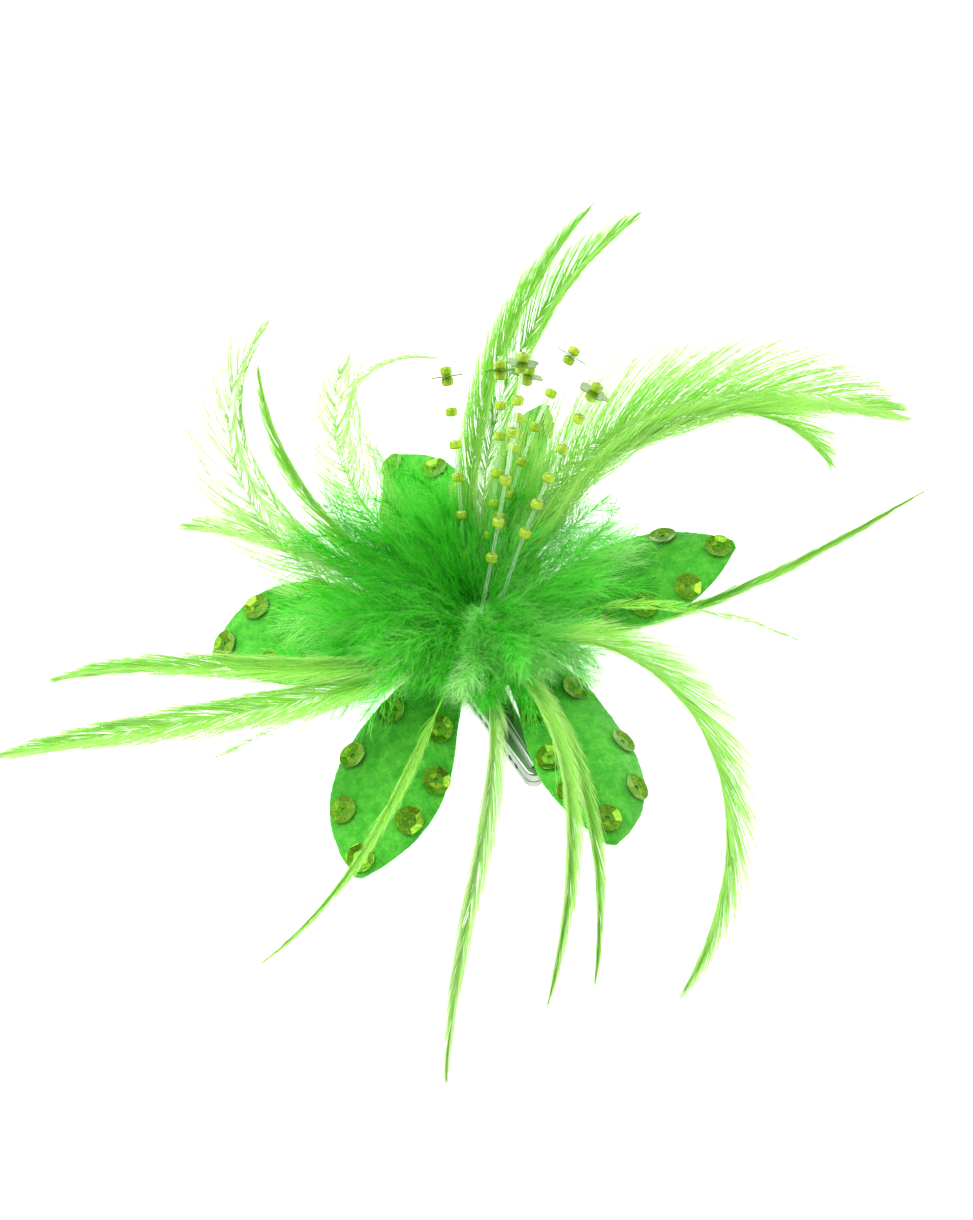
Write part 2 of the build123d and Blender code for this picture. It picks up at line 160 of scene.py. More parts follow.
# %% Helpers for materials
def finish(name, colour, roughness, **sockets):
    material = bpy.data.materials.new(name)
    material.use_nodes = True
    tree = material.node_tree
    shader = tree.nodes["Principled BSDF"]
    shader.inputs["Base Color"].default_value = (*colour, 1.0)
    shader.inputs["Roughness"].default_value = roughness
    for socket, value in sockets.items():
        shader.inputs[socket.replace("_", " ")].default_value = value
    return material, tree, shader


def noise(tree, scale, detail=3.0, stretch=None):
    place = tree.nodes.new("ShaderNodeTexCoord")
    texture = tree.nodes.new("ShaderNodeTexNoise")
    texture.inputs["Scale"].default_value = scale
    texture.inputs["Detail"].default_value = detail
    if stretch:
        mapping = tree.nodes.new("ShaderNodeMapping")
        mapping.inputs["Scale"].default_value = stretch
        tree.links.new(place.outputs["Object"], mapping.inputs["Vector"])
        tree.links.new(mapping.outputs["Vector"], texture.inputs["Vector"])
    else:
        tree.links.new(place.outputs["Object"], texture.inputs["Vector"])
    return texture.outputs["Fac"]


def ramp(tree, value, *stops):
    """A colour ramp; each stop is (position, colour)."""
    node = tree.nodes.new("ShaderNodeValToRGB")
    elements = node.color_ramp.elements
    while len(elements) < len(stops):
        elements.new(0.5)
    for element, (position, colour) in zip(elements, stops):
        element.position = position
        element.color = (*colour, 1.0)
    tree.links.new(value, node.inputs["Fac"])
    return node.outputs["Color"]


def bump(tree, shader, height, distance, strength=1.0):
    node = tree.nodes.new("ShaderNodeBump")
    node.inputs["Distance"].default_value = distance
    node.inputs["Strength"].default_value = strength
    tree.links.new(height, node.inputs["Height"])
    tree.links.new(node.outputs["Normal"], shader.inputs["Normal"])


def mixed(tree, factor, a, b, blend="MIX"):
    """Mixes two colours; each input is a socket or a plain value."""
    node = tree.nodes.new("ShaderNodeMix")
    node.data_type = "RGBA"
    node.blend_type = blend
    for socket, value in ((node.inputs[0], factor), (node.inputs[6], a), (node.inputs[7], b)):
        if isinstance(value, bpy.types.NodeSocket):
            tree.links.new(value, socket)
        elif isinstance(value, tuple):
            socket.default_value = (*value, 1.0)
        else:
            socket.default_value = value
    return node.outputs[2]


# %% [markdown]
# ### Velour felt
# The petals are cut from short-pile green felt. Close up it is cloudy: the pile leans one way or another
# in patches a few millimetres wide, over a grain finer than a millimetre. A little sheen gives the pale
# edge that cloth has where it turns away.

# %% Velour and felt
def felt_finish(name, dark, middle, light):
    material, tree, shader = finish(
        name, middle, 0.92, Sheen_Weight=0.35, Sheen_Roughness=0.45, Specular_IOR_Level=0.15
    )
    shader.inputs["Sheen Tint"].default_value = (0.75, 1.0, 0.6, 1.0)
    cloud = ramp(tree, noise(tree, 420.0, 5.0), (0.32, dark), (0.52, middle), (0.72, light))
    grain = ramp(
        tree, noise(tree, 1500.0, 5.0), (0.30, (0.72, 0.72, 0.72)), (0.70, (1.0, 1.0, 1.0))
    )
    colour = mixed(tree, 1.0, cloud, grain, "MULTIPLY")
    tree.links.new(colour, shader.inputs["Base Color"])
    bump(tree, shader, noise(tree, 2600.0, 6.0), 0.00022, 0.8)
    return material


velour = felt_finish(
    "green_velour", (0.050, 0.42, 0.026), (0.085, 0.52, 0.036), (0.135, 0.62, 0.055)
)
craft_felt = felt_finish(
    "green_craft_felt", (0.03, 0.25, 0.02), (0.04, 0.33, 0.03), (0.07, 0.42, 0.05)
)


# %% [markdown]
# ### Feather
# A barb is a hair of keratin: light falls through it as well as on it. We mix a Principled shader with a
# Translucent one and colour both from an attribute, `tint`, that each feather writes as it is made: 0 is
# the deep green of the quills, 1 the pale lime of thin barbs. The velour's pile is coloured the same way.

# %% Feather finishes
def feather_finish(name, stops, through):
    material, tree, shader = finish(name, stops[1][1], 0.6, Specular_IOR_Level=0.08)
    tint = tree.nodes.new("ShaderNodeAttribute")
    tint.attribute_name = "tint"
    colour = ramp(tree, tint.outputs["Fac"], *stops)
    tree.links.new(colour, shader.inputs["Base Color"])
    glow = tree.nodes.new("ShaderNodeBsdfTranslucent")
    tree.links.new(colour, glow.inputs["Color"])
    mix = tree.nodes.new("ShaderNodeMixShader")
    mix.inputs["Fac"].default_value = through
    tree.links.new(shader.outputs["BSDF"], mix.inputs[1])
    tree.links.new(glow.outputs["BSDF"], mix.inputs[2])
    tree.links.new(mix.outputs["Shader"], tree.nodes["Material Output"].inputs["Surface"])
    return material


hackle_finish = feather_finish(
    "lime_hackle",
    (
        (0.0, (0.22, 0.70, 0.03)),
        (0.3, (0.45, 0.94, 0.12)),
        (0.65, (0.66, 1.0, 0.26)),
        (1.0, (0.83, 1.0, 0.60)),
    ),
    0.6,
)
down_finish = feather_finish(
    "green_down",
    (
        (0.0, (0.05, 0.74, 0.025)),
        (0.35, (0.16, 0.92, 0.07)),
        (0.7, (0.36, 0.98, 0.20)),
        (1.0, (0.72, 1.0, 0.56)),
    ),
    0.55,
)

pile_finish = feather_finish(
    "velour_pile",
    (
        (0.0, (0.05, 0.42, 0.026)),
        (0.4, (0.09, 0.54, 0.040)),
        (0.7, (0.14, 0.66, 0.06)),
        (1.0, (0.24, 0.82, 0.12)),
    ),
    0.3,
)

# %% [markdown]
# ### Film, glass, nylon, steel and glue
# Sequins are metallised film: a mirror with colour, never quite flat. The seed beads are lime glass, the
# threads clear nylon. The clip is nickel-plated steel with a faint brushing along it.

# %% Hard finishes
sequin_film, tree, shader = finish("lime_sequin_film", (0.22, 0.29, 0.014), 0.3, Metallic=0.7)
island = tree.nodes.new("ShaderNodeNewGeometry")
film = ramp(
    tree,
    island.outputs["Random Per Island"],
    (0.0, (0.065, 0.20, 0.008)),
    (0.6, (0.105, 0.27, 0.007)),
    (1.0, (0.26, 0.48, 0.010)),
)
tree.links.new(film, shader.inputs["Base Color"])
bump(tree, shader, noise(tree, 700.0, 2.0), 0.00006, 0.5)

flower_film, tree, shader = finish("olive_flower_film", (0.10, 0.24, 0.03), 0.3, Metallic=0.25)
bump(tree, shader, noise(tree, 500.0, 2.0), 0.0001, 0.6)
film = ramp(tree, noise(tree, 220.0), (0.35, (0.07, 0.19, 0.012)), (0.65, (0.15, 0.30, 0.02)))
tree.links.new(film, shader.inputs["Base Color"])

bead_glass, tree, shader = finish(
    "lime_bead_glass", (0.50, 0.72, 0.012), 0.08, Transmission_Weight=0.5, IOR=1.5
)
glass = ramp(
    tree, noise(tree, 420.0, 2.0), (0.35, (0.36, 0.58, 0.008)), (0.65, (0.60, 0.84, 0.03))
)
tree.links.new(glass, shader.inputs["Base Color"])

nylon, tree, shader = finish(
    "clear_nylon", (0.86, 1.0, 0.80), 0.08, Transmission_Weight=0.85, IOR=1.42
)
bump(tree, shader, noise(tree, 900.0, 1.0), 0.00002, 0.2)

steel, tree, shader = finish("nickelled_steel", (0.38, 0.41, 0.37), 0.28, Metallic=1.0)
streaks = noise(tree, 900.0, 4.0, stretch=(1.0, 0.08, 1.0))
bump(tree, shader, streaks, 0.00003, 0.5)
spring_steel, tree, shader = finish("spring_steel", (0.34, 0.35, 0.34), 0.3, Metallic=1.0)
bump(tree, shader, noise(tree, 1800.0, 3.0), 0.00002, 0.5)
hot_glue, tree, shader = finish(
    "milky_hot_glue", (0.16, 0.58, 0.10), 0.35, Subsurface_Weight=0.3, Subsurface_Scale=0.003
)
bump(tree, shader, noise(tree, 220.0, 3.0), 0.0005, 0.7)

# %% [markdown]
# ## Dressing the CAD pieces
# The clip, pin, disc, glue, beads, threads and sequins have their real shape already. They keep it and
# only get their finish.

# %% Assign the finishes
DRESSED = {
    "clip_upper_jaw": steel,
    "clip_lower_jaw": steel,
    "hinge_pin": steel,
    "clip_spring": spring_steel,
    "felt_disc": craft_felt,
    "glue_mound": hot_glue,
}
for n in range(1, 7):
    DRESSED[f"petal_{n}_sequins"] = sequin_film
    DRESSED[f"stamen_{n}_thread"] = nylon
    DRESSED[f"stamen_{n}_beads"] = bead_glass
    DRESSED[f"stamen_{n}_flower"] = flower_film
for name, material in DRESSED.items():
    mesh = nodes[name].data
    mesh.materials.clear()
    mesh.materials.append(material)
print("dressed", len(DRESSED), "CAD nodes")

# %% [markdown]
# ## Petals
# A die-cut felt petal has no sharp corner anywhere: its cut edge is soft and its faces are a little
# uneven. We copy the CAD petal, weld it, remesh it into small even voxels, relax it and push it in and
# out by a cloud texture. Its pile comes later, from the fibre builder.


# %% Petal cloth
def only(obj):
    bpy.ops.object.select_all(action="DESELECT")
    obj.select_set(True)
    bpy.context.view_layer.objects.active = obj


def apply_all(obj):
    only(obj)
    for modifier in list(obj.modifiers):
        bpy.ops.object.modifier_apply(modifier=modifier.name)


WELD, VOXEL, UNEVENNESS = 0.00002, 0.0004, 0.00034  # metres


def petal_cloth(n):
    petal = nodes[f"petal_{n}"].copy()
    petal.data = petal.data.copy()
    petal.name = f"petal_{n}_cloth"
    for key in list(petal.keys()):
        del petal[key]
    petal.parent = None
    petal.hide_render = False
    scene.collection.objects.link(petal)
    only(petal)
    bpy.ops.object.mode_set(mode="EDIT")
    bpy.ops.mesh.select_all(action="SELECT")
    bpy.ops.mesh.remove_doubles(threshold=WELD)
    bpy.ops.object.mode_set(mode="OBJECT")
    remesh = petal.modifiers.new("voxels", "REMESH")
    remesh.mode = "VOXEL"
    remesh.voxel_size = VOXEL
    relax = petal.modifiers.new("relax", "SMOOTH")
    relax.iterations = 3
    push = petal.modifiers.new("uneven", "DISPLACE")
    push.texture = cloth_clouds
    push.strength = UNEVENNESS
    push.mid_level = 0.5
    apply_all(petal)
    petal.data.materials.clear()
    petal.data.materials.append(velour)
    bpy.ops.object.shade_smooth()
    return petal


cloth_clouds = bpy.data.textures.new("cloth_clouds", "CLOUDS")
cloth_clouds.noise_scale = 0.0032
cloth_clouds.noise_depth = 3
petals = {n: petal_cloth(n) for n in range(1, 7)}
for n, petal in petals.items():
    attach(petal, "flower")
    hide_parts(f"petal_{n}")
print("petal faces", [len(p.data.polygons) for p in petals.values()])

# %% [markdown]
# ## Fibres
# Quills, barbs and down are all fibres: thin tapered tubes that end in a point. A curve object would give
# each a heavy round section, so we write the mesh ourselves. Every fibre has three sides, a closed base
# and a tip of one vertex, and all of a feather's fibres are one mesh, which Blender handles easily.


# %% The fibre builder
def unit(vectors):
    return vectors / np.maximum(np.linalg.norm(vectors, axis=-1, keepdims=True), 1e-12)


def fibre_arrays(paths, radii, tint, sides=3):
    """Vertices, loops, face sizes and tints for fibres along paths (fibre, station, xyz)."""
    count, stations, _ = paths.shape
    along = unit(np.gradient(paths, axis=1))
    helper = np.where(np.abs(along[..., 2:3]) > 0.9, (1.0, 0.0, 0.0), (0.0, 0.0, 1.0))
    u = unit(np.cross(helper, along))
    v = np.cross(along, u)
    angles = np.arange(sides) * 2 * math.pi / sides
    spokes = (
        u[:, :-1, None] * np.cos(angles)[None, None, :, None]
        + v[:, :-1, None] * np.sin(angles)[None, None, :, None]
    )
    rings = paths[:, :-1, None] + spokes * radii[:, :-1, None, None]
    verts = np.concatenate([rings.reshape(count, -1, 3), paths[:, -1:]], axis=1)
    shades = np.concatenate([np.repeat(tint[:, :-1], sides, axis=1), tint[:, -1:]], axis=1)
    each = verts.shape[1]
    loops, sizes = [], []
    for station in range(stations - 2):
        for e in range(sides):
            a, b = station * sides + e, station * sides + (e + 1) % sides
            loops += [a, b, b + sides, a + sides]
            sizes.append(4)
    last = (stations - 2) * sides
    for e in range(sides):
        loops += [last + e, last + (e + 1) % sides, each - 1]
        sizes.append(3)
    loops += list(range(sides))[::-1]
    sizes.append(sides)
    loops = (np.array(loops)[None] + np.arange(count)[:, None] * each).ravel()
    return verts.reshape(-1, 3), loops, np.tile(sizes, count), shades.ravel()


def fibre_mesh(name, parts, material):
    """One mesh from several fibre_arrays, given in millimetres."""
    verts, loops, sizes, shades, base = [], [], [], [], 0
    for v, l, s, t in parts:
        verts.append(v)
        loops.append(l + base)
        sizes.append(s)
        shades.append(t)
        base += len(v)
    verts, loops, sizes, shades = (np.concatenate(x) for x in (verts, loops, sizes, shades))
    mesh = bpy.data.meshes.new(name)
    mesh.vertices.add(len(verts))
    mesh.vertices.foreach_set("co", (verts * MM).ravel())
    mesh.loops.add(len(loops))
    mesh.loops.foreach_set("vertex_index", loops)
    mesh.polygons.add(len(sizes))
    mesh.polygons.foreach_set("loop_start", np.concatenate([[0], np.cumsum(sizes)[:-1]]))
    mesh.polygons.foreach_set("use_smooth", np.ones(len(sizes), bool))
    shade = mesh.attributes.new("tint", "FLOAT", "POINT")
    shade.data.foreach_set("value", np.clip(shades, 0, 1))
    mesh.update()
    mesh.materials.append(material)
    piece = bpy.data.objects.new(name, mesh)
    scene.collection.objects.link(piece)
    return piece


# %% [markdown]
# ### The velour's pile
# Velour has a short pile. Seen against the light it is what makes a felt edge look soft. We scatter short
# fibres over the cloth, more or less upright, with a lean that changes slowly from place to place.

# %% Pile
PILE_COUNT, PILE_RADIUS = 3500, 0.03
PILE_DEPTH = 0.08  # how far under the surface a fibre starts
PILE_LENGTH = (0.22, 0.5)


def pile(n):
    rng = np.random.default_rng(40 + n)
    mesh = petals[n].data
    count = len(mesh.polygons)
    area, centre, normal = np.zeros(count), np.zeros(count * 3), np.zeros(count * 3)
    mesh.polygons.foreach_get("area", area)
    mesh.polygons.foreach_get("center", centre)
    mesh.polygons.foreach_get("normal", normal)
    centre, normal = centre.reshape(-1, 3) / MM, normal.reshape(-1, 3)
    pick = rng.choice(count, PILE_COUNT, p=area / area.sum())
    start = centre[pick] + rng.normal(0, 0.1, (PILE_COUNT, 3))
    lean = np.stack(
        [np.sin(centre[pick, 1] / 4.0 + n), np.cos(centre[pick, 0] / 5.0), 0 * pick], -1
    )
    way = unit(normal[pick] + 0.5 * lean + rng.normal(0, 0.45, (PILE_COUNT, 3)))
    size = rng.uniform(*PILE_LENGTH, (PILE_COUNT, 1))
    start = start - normal[pick] * PILE_DEPTH
    t = np.linspace(0, 1, 3)
    paths = start[:, None] + way[:, None] * (t[None, :, None] * size[:, None])
    radii = np.full((PILE_COUNT, 3), PILE_RADIUS)
    tint = rng.normal(0.45, 0.16, (PILE_COUNT, 1)) + 0.15 * t[None]
    piece = fibre_mesh(f"petal_{n}_pile", [fibre_arrays(paths, radii, tint)], pile_finish)
    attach(piece, "flower")
    return piece


piles = {n: pile(n) for n in petals}
print("pile faces", len(piles[1].data.polygons))

# %% [markdown]
# ## Hackle feathers
# A hackle is a quill with two rows of barbs that sweep forward. Its line is the CAD strand's: a heading
# and a lift that change along it. The barbs differ from feather to feather, so each row of the second
# table says how long they are on the left and right, where they start, how wide they open, how dense
# they are and how pale.

# %% The strand's line
FLOWER = np.array((4.0, 17.0))
HACKLE_ROOT = 7.0
HACKLES = {  # angle of the root, its height, heading, lift, length, turn, droop, hook
    1: (55.0, 9.2, 69.0, 28.0, 96.0, -40.0, -13.0, -25.0),
    2: (76.0, 9.8, 71.0, 30.0, 93.0, -49.0, -11.0, -4.0),
    3: (36.0, 9.6, 53.0, 42.0, 108.0, -159.0, -56.0, 69.0),
    4: (14.0, 9.6, 42.0, 46.0, 96.0, -58.0, -50.0, -76.0),
    5: (-42.0, 7.3, -12.0, -22.4, 104.0, 36.0, 42.0, -26.0),
    6: (-60.0, 8.6, -36.0, 36.0, 111.0, -109.0, -83.0, -11.0),
    7: (-80.0, 9.8, -84.0, 23.0, 82.0, -30.0, -72.0, -12.0),
    8: (-97.0, 8.8, -78.0, 29.0, 88.0, -75.0, -67.0, 19.0),
    9: (-118.0, 9.8, -100.0, 15.0, 97.0, -87.0, -51.0, 67.0),
    10: (-142.0, 8.8, -138.0, 14.0, 87.0, 25.0, -31.0, -62.0),
    11: (-164.0, 8.4, -157.0, 26.0, 104.0, -85.0, -35.0, 45.0),
    12: (-181.0, 9.6, -152.0, 25.0, 88.0, -151.0, -20.0, 118.0),
    13: (163.0, 8.6, 159.0, 28.0, 96.0, -100.0, -19.0, -34.0),
    14: (149.0, 9.8, 141.0, 23.0, 86.0, -39.0, -13.0, -68.0),
    15: (136.0, 8.2, 123.0, 20.0, 61.0, 10.0, -22.0, 21.0),
    16: (123.0, 10.2, 141.0, 24.0, 69.0, -47.0, 14.0, -24.0),
    17: (109.0, 8.6, 124.0, 30.0, 63.0, -33.0, -5.0, -47.0),
    18: (94.0, 9.8, 115.0, 18.0, 93.0, -12.0, -36.0, -132.0),
}


def strand(root, heading, lift, length, turn, droop, hook, shares):
    """Points, directions, left sides and faces of a curving strand at these shares of its length."""

    def direction(s):
        h, v = np.radians(heading + turn * s + hook * s * s), np.radians(lift + droop * s)
        return np.stack([np.cos(h) * np.cos(v), np.sin(h) * np.cos(v), np.sin(v)], -1), h

    fine = np.linspace(0, 1, 241)
    steps = direction((fine[1:] + fine[:-1]) / 2)[0] * (length / 240)
    line = np.vstack([np.zeros(3), np.cumsum(steps, 0)]) + root
    points = np.stack([np.interp(shares, fine, line[:, k]) for k in range(3)], -1)
    along, h = direction(shares)
    left = np.stack([-np.sin(h), np.cos(h), np.zeros_like(h)], -1)
    return points, along, left, np.cross(along, left)


def root_at(radius, angle, z):
    a = math.radians(angle)
    return np.array((FLOWER[0] + radius * math.cos(a), FLOWER[1] + radius * math.sin(a), z))


# %% Barbs
BARBS = {  # left and right length, start, opening, barbs per mm a side, tint, clumping
    1: (26.0, 19.0, 0.06, 14.0, 6.4, 0.62, 0.25),
    2: (20.0, 12.0, 0.06, 10.0, 5.4, 0.58, 0.30),
    3: (34.0, 36.0, 0.05, 24.0, 7.4, 0.74, 0.20),
    4: (28.0, 26.0, 0.08, 15.0, 6.4, 0.66, 0.35),
    5: (12.0, 12.0, 0.14, 6.5, 5.0, 0.66, 0.35),
    6: (26.0, 22.0, 0.06, 6.6, 6.2, 0.74, 0.12),
    7: (14.0, 13.0, 0.08, 6.2, 5.2, 0.74, 0.15),
    8: (16.0, 16.0, 0.08, 6.6, 5.4, 0.76, 0.15),
    9: (20.0, 20.0, 0.10, 6.0, 4.4, 0.92, 0.20),
    10: (10.0, 10.0, 0.22, 7.0, 4.4, 0.66, 0.30),
    11: (24.0, 23.0, 0.10, 12.0, 5.4, 0.72, 0.55),
    12: (21.0, 20.0, 0.12, 10.0, 5.4, 0.70, 0.55),
    13: (27.0, 12.0, 0.10, 20.0, 4.8, 0.90, 0.10),
    14: (8.0, 11.0, 0.14, 13.0, 3.2, 0.86, 0.30),
    15: (20.0, 19.0, 0.12, 15.0, 4.8, 0.76, 0.50),
    16: (14.0, 15.0, 0.12, 8.0, 5.2, 0.62, 0.30),
    17: (16.0, 22.0, 0.10, 33.0, 4.2, 0.86, 0.15),
    18: (14.0, 13.0, 0.14, 24.0, 2.8, 0.90, 0.25),
}
STATIONS = 6
BARB_RADII = (0.058, 0.046, 0.015)  # at the root, at 0.6 of the length and at the tip
LENGTH_ALONG = (0.7, 0.75, 1.0, 0.95, 0.60, 0.15)  # longest at 0.35 of the quill
OPENING_ALONG = (1.3, 1.0, 0.5)  # at the quill's root, middle and tip
ODD_SHARE, ODD_OPENING = 0.03, 1.5  # a few barbs have come loose and stand off
CLUMP_BREAK = 0.075  # the chance that a barb starts a new clump


def barbs(rng, line, length, row):
    left_len, right_len, start, opening, density, pale, clumping = row
    count = int(density * length * (1 - start))
    parts = []
    for sign, reach in ((1.0, left_len), (-1.0, right_len)):
        share = np.sort(start + (1 - start) * rng.random(count))
        points, along, left, face = strand(*line, share)
        profile = np.interp(share, (0.0, start, 0.35, 0.6, 0.85, 1.0), LENGTH_ALONG)
        size = reach * profile * rng.uniform(0.84, 1.04, count)
        angle = np.radians(opening * np.interp(share, (0.0, 0.5, 1.0), OPENING_ALONG))
        angle = angle * rng.normal(1.0, 0.10, count)
        angle = angle * np.where(rng.random(count) < ODD_SHARE, ODD_OPENING, 1.0)
        rise = rng.normal(0.04, 0.07, count)
        t = np.linspace(0, 1, STATIONS)
        bend = angle[:, None] * (1.8 - 1.6 * t)  # it leaves steeply and sweeps forward
        step = size[:, None] / (STATIONS - 1)
        ahead = np.cumsum(np.cos(bend) * step, axis=1)
        aside = np.cumsum(np.sin(bend) * step, axis=1)
        ahead, aside = ahead - ahead[:, :1], aside - aside[:, :1]
        up = rise[:, None] * size[:, None] * t**1.6
        paths = (
            points[:, None]
            + along[:, None] * ahead[..., None]
            + left[:, None] * (sign * aside)[..., None]
            + face[:, None] * up[..., None]
        )
        clump = np.cumsum(rng.random(count) < CLUMP_BREAK)
        for k in range(clump.max() + 1):
            members = np.flatnonzero(clump == k)
            if len(members) > 2:
                lead = paths[members[len(members) // 2]]
                pull = clumping * rng.uniform(0.6, 1.1) * t**1.5
                paths[members] += (lead - paths[members]) * pull[None, :, None]
        wander = rng.normal(0, 0.05, (count, 1, 3)) * (t**2)[None, :, None]
        paths = paths + wander * size[:, None, None] * 0.35
        radii = np.interp(t, (0.0, 0.6, 1.0), BARB_RADII)[None]
        radii = radii * rng.uniform(0.8, 1.2, (count, 1))
        tint = pale + 0.26 * (t[None] - 0.4) + rng.normal(0, 0.09, (count, 1))
        parts.append(fibre_arrays(paths, radii, tint))
    return parts


def hackle(n):
    rng = np.random.default_rng(100 + n)
    angle, z, heading, lift, length, turn, droop, hook = HACKLES[n]
    line = (root_at(HACKLE_ROOT, angle, z), heading, lift, length, turn, droop, hook)
    shares = np.linspace(0, 1, 60)
    quill = strand(*line, shares)[0][None]
    thick = np.interp(shares, (0.0, 0.1, 0.6, 1.0), (0.32, 0.24, 0.11, 0.03))[None]
    tint = np.interp(shares, (0.0, 1.0), (0.30, 0.60))[None] * (0.4 + 0.9 * BARBS[n][5])
    parts = [fibre_arrays(quill, thick, tint, sides=6)]
    parts += barbs(rng, line, length, BARBS[n])
    piece = fibre_mesh(f"hackle_{n:02d}_feather", parts, hackle_finish)
    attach(piece, "flower")
    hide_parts(f"hackle_{n:02d}")
    return piece


hackles = {n: hackle(n) for n in HACKLES}
print("hackle faces", {n: len(p.data.polygons) for n, p in hackles.items()})

# %% [markdown]
# ## Marabou down
# Marabou is a plume whose barbs are soft and hairy: each barb carries hundreds of tiny barbules. Each tuft
# is a bunch of short plumes that fans out from the glue over the petals. We grow plumes, wavy barbs on the
# plumes and two barbules on each barb, all from the same fibre builder.

# %% Plumes
TUFT_ROOT_Z = 7.7
TUFTS = {  # heading, lift, spread, swing, plumes, length, pale
    1: (14.0, 18.0, 24.0, 1.0, 20, 36.0, 0.60),
    2: (74.0, 28.0, 26.0, 1.0, 20, 36.0, 0.32),
    3: (128.0, 26.0, 24.0, 1.0, 22, 42.0, 0.10),
    4: (176.0, 16.0, 15.0, 0.5, 22, 45.0, 0.50),
    5: (224.0, 14.0, 24.0, 1.0, 18, 21.0, 0.40),
    6: (292.0, 16.0, 26.0, 1.0, 20, 25.0, 0.54),
}


def offshoots(rng, stem_points, stem_along, size, opening, stations, bend=0.8, sag=0.0):
    """Paths that leave stem_points at an angle and bend forward."""
    count = len(stem_points)
    spin = unit(np.cross(stem_along, rng.normal(0, 1, (count, 3))))
    t = np.linspace(0, 1, stations)
    angle = np.radians(opening) * rng.normal(1.0, 0.2, count)
    turn = angle[:, None] * (1.1 - bend * t)
    step = size[:, None] / (stations - 1)
    ahead = np.cumsum(np.cos(turn) * step, axis=1) - step
    aside = np.cumsum(np.sin(turn) * step, axis=1)
    aside = aside - aside[:, :1]
    ahead = ahead - ahead[:, :1]
    paths = (
        stem_points[:, None] + stem_along[:, None] * ahead[..., None] + spin[:, None] * aside[..., None]
    )
    paths[..., 2] -= sag * size[:, None] * t**2
    return paths


PLUME_BARBS, PLUME_STATIONS = 135, 6
BARB_LENGTH = (15.0, 14.0, 8.0)  # at the plume's root, at 0.4 of it and at its tip
BARB_OPENING, BARBULE_OPENING = 46.0, 55.0
BARB_THICK, BARBULE_RADIUS = (0.060, 0.024), 0.022
DOWN_FLOOR = 3.6  # no barb goes lower


def plume(rng, line, pale, count=PLUME_BARBS, scale=1.0):
    """A quill, its wavy barbs and two barbules on each barb."""
    shares = np.linspace(0, 1, 14)
    quill = strand(*line, shares)[0][None]
    parts = [fibre_arrays(quill, np.linspace(0.10, 0.03, 14)[None], np.full((1, 14), pale))]
    share = rng.uniform(0.02, 1.0, count) ** 0.8
    points, along, _, _ = strand(*line, share)
    size = scale * np.interp(share, (0.0, 0.4, 1.0), BARB_LENGTH) * rng.uniform(0.5, 1.1, count)
    paths = offshoots(rng, points, along, size, BARB_OPENING, PLUME_STATIONS, 0.75, 0.08)
    t = np.linspace(0, 1, PLUME_STATIONS)
    side = unit(rng.normal(0, 1, (count, 1, 3)))
    phase = rng.uniform(0, 2 * math.pi, (count, 1))
    wave = np.sin(phase + t[None] * rng.uniform(3.0, 9.0, (count, 1))) - np.sin(phase)
    paths = paths + side * (0.05 * size[:, None] * wave * t[None])[..., None]
    paths += np.cumsum(rng.normal(0, 0.10, paths.shape), axis=1)
    paths[..., 2] = np.maximum(paths[..., 2], DOWN_FLOOR + rng.uniform(0, 0.6, (count, 1)))
    own = pale + 0.26 * (share[:, None] - 0.5) + 0.34 * (t[None] - 0.45)
    own = own + rng.normal(0, 0.08, (count, 1))
    radii = np.interp(t, (0, 1), BARB_THICK)[None] * np.ones((count, 1))
    parts.append(fibre_arrays(paths, radii, own))
    at = rng.uniform(0.15, 0.97, (count, 2)) * (PLUME_STATIONS - 1)
    low = np.minimum(at.astype(int), PLUME_STATIONS - 2)
    rows = np.arange(count)[:, None]
    frac = (at - low)[..., None]
    start = paths[rows, low] * (1 - frac) + paths[rows, low + 1] * frac
    ahead = unit(paths[rows, low + 1] - paths[rows, low])
    start, ahead = start.reshape(-1, 3), ahead.reshape(-1, 3)
    small = rng.uniform(1.5, 4.5, count * 2)
    fuzz = offshoots(rng, start, ahead, small, BARBULE_OPENING, 3, 0.5)
    shade = np.repeat(own[:, 2:5], 2, axis=0) + 0.12
    parts.append(fibre_arrays(fuzz, np.full((count * 2, 3), BARBULE_RADIUS), shade))
    return parts


def tuft(n):
    rng = np.random.default_rng(500 + n)
    heading, lift, spread, swing, plumes, reach, pale = TUFTS[n]
    parts = []
    for _ in range(plumes):
        h = heading + float(np.clip(rng.normal(0, spread), -1.5 * spread, 1.5 * spread))
        radius, angle = rng.uniform(1.0, 7.0), h + rng.normal(0, 14)
        root = root_at(radius, angle, TUFT_ROOT_Z + rng.uniform(0.3, 5.5))
        v = lift + rng.uniform(-8.0, 34.0)
        length = reach * rng.uniform(0.55, 1.0)
        turn = float(np.clip(rng.normal(0, 45), -50.0, 50.0)) * swing
        line = (root, h, v, length, turn, -v * rng.uniform(0.5, 1.2), 0.0)
        parts += plume(rng, line, pale + rng.normal(0, 0.20), scale=min(1.0, reach / 34.0))
    piece = fibre_mesh(f"marabou_{n}_plumes", parts, down_finish)
    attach(piece, "flower")
    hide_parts(f"marabou_{n}")
    return piece


tufts = {n: tuft(n) for n in TUFTS}
print("down faces", {n: len(p.data.polygons) for n, p in tufts.items()})

# %% [markdown]
# ### The pale heart
# Over the glue lies a cap of short down, almost white where it is thin. Its plumes start near the middle,
# stand up and fall over to the front, so that no glue shows between the tufts.

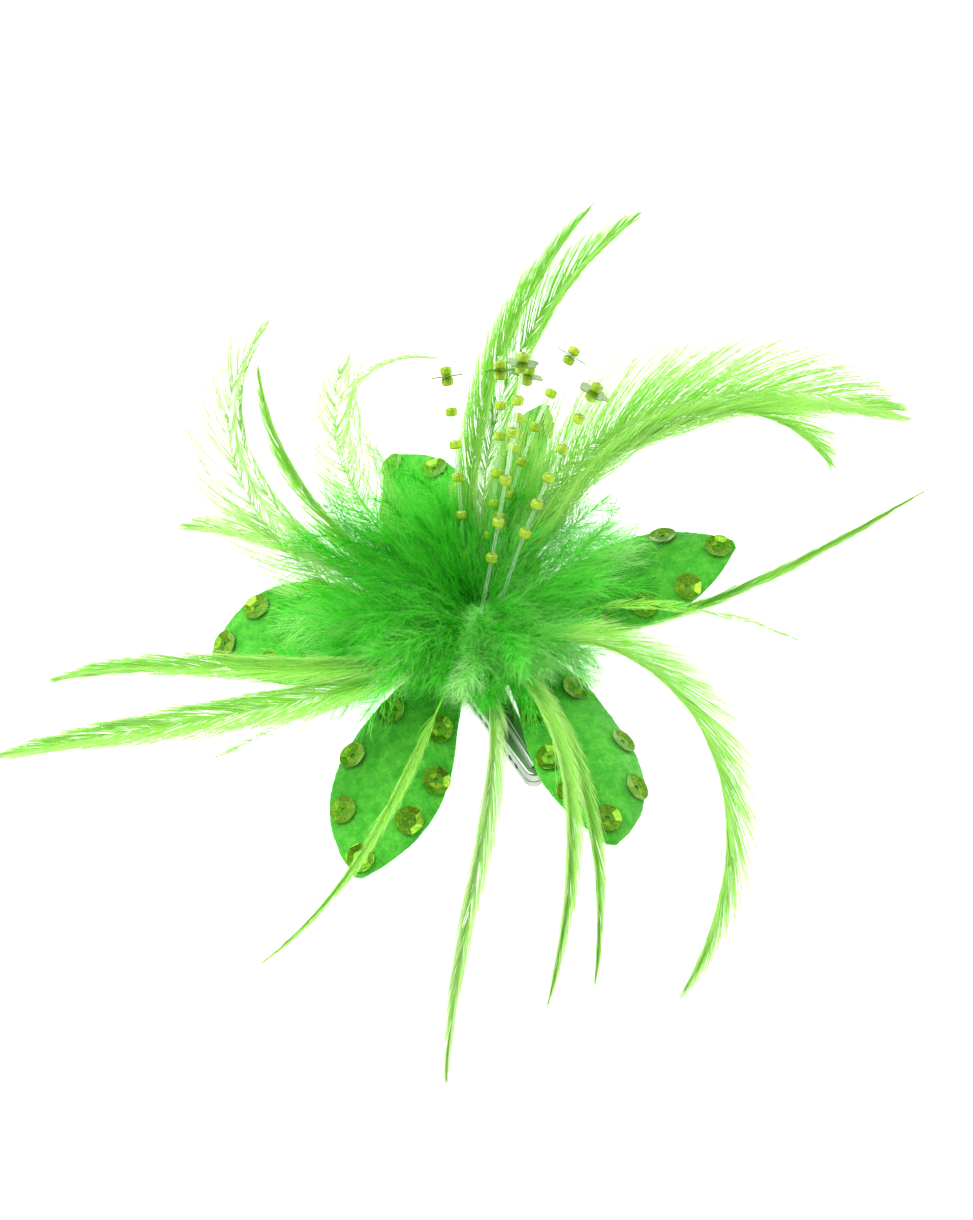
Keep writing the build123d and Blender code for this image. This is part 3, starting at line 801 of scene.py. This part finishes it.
# %% Down over the glue
HEART_PLUMES, ALL_ROUND, HEART_BARBS, HEART_SCALE = 20, 11, 88, 0.6
rng = np.random.default_rng(77)
parts = []
for k in range(HEART_PLUMES):
    h = rng.uniform(-180.0, 180.0) if k < ALL_ROUND else rng.normal(285.0, 28.0)
    root = root_at(rng.uniform(0.0, 4.5), h, TUFT_ROOT_Z + rng.uniform(3.0, 6.5))
    v = rng.uniform(35.0, 70.0)
    length, turn = rng.uniform(8.0, 14.0), rng.normal(0, 60)
    line = (root, h, v, length, turn, -v * rng.uniform(1.2, 1.8), 0.0)
    parts += plume(rng, line, rng.uniform(0.30, 0.62), HEART_BARBS, HEART_SCALE)
heart = fibre_mesh("marabou_heart", parts, down_finish)
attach(heart, "flower")
print("heart faces", len(heart.data.polygons))

# %% [markdown]
# ## Loose strands
# A few barbs and thin feather tips stray from the bunch on their own. They are short hackle strands with
# a row of sparse barbs, drawn by the same two functions.

# %% Stray strands
STRAYS = {  # root angle, height, heading, lift, length, turn, droop, hook; then its barbs
    "right_tip": (
        (-30.0, 9.0, -12.0, 18.0, 62.0, -46.0, -30.0, 10.0),
        (6.0, 7.0, 0.3, 14.0, 1.8, 0.7, 0.6),
    ),
    "left_upper": (
        (150.0, 9.4, 150.0, 26.0, 74.0, -22.0, -10.0, -50.0),
        (4.0, 4.0, 0.5, 13.0, 0.9, 0.8, 0.7),
    ),
    "left_low": (
        (170.0, 9.0, 196.0, 8.0, 58.0, -26.0, -14.0, 10.0),
        (8.0, 7.0, 0.3, 18.0, 1.6, 0.76, 0.7),
    ),
}
for name, ((angle, z, *course), row) in STRAYS.items():
    rng = np.random.default_rng(sum(map(ord, name)))
    line = (root_at(HACKLE_ROOT, angle, z), *course)
    shares = np.linspace(0, 1, 40)
    quill = strand(*line, shares)[0][None]
    thick, tint = np.linspace(0.16, 0.03, 40)[None], np.full((1, 40), row[5] - 0.3)
    parts = [fibre_arrays(quill, thick, tint, sides=6)]
    parts += barbs(rng, line, course[2], row)
    stray = fibre_mesh(f"stray_{name}", parts, hackle_finish)
    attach(stray, "flower")
print("strays", list(STRAYS))

# %% [markdown]
# ## The spring
# The clip's spring is a coil of wire round the pin, with a leg that presses on each tail. Its CAD solid is
# rigid, so one leg would stay behind when the jaw opens. We show a welded copy of it in spring steel in
# its place, with the same rigid shape.

# %% Spring wire
spring = nodes["clip_spring"].copy()
spring.data = spring.data.copy()
spring.name = "spring_wire"
for key in list(spring.keys()):
    del spring[key]
spring.parent = None
scene.collection.objects.link(spring)
only(spring)
bpy.ops.object.mode_set(mode="EDIT")
bpy.ops.mesh.select_all(action="SELECT")
bpy.ops.mesh.remove_doubles(threshold=0.000005)
bpy.ops.object.mode_set(mode="OBJECT")
spring.data.materials.clear()
spring.data.materials.append(spring_steel)
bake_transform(spring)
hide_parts("clip_spring")
print("spring faces", len(spring.data.polygons))
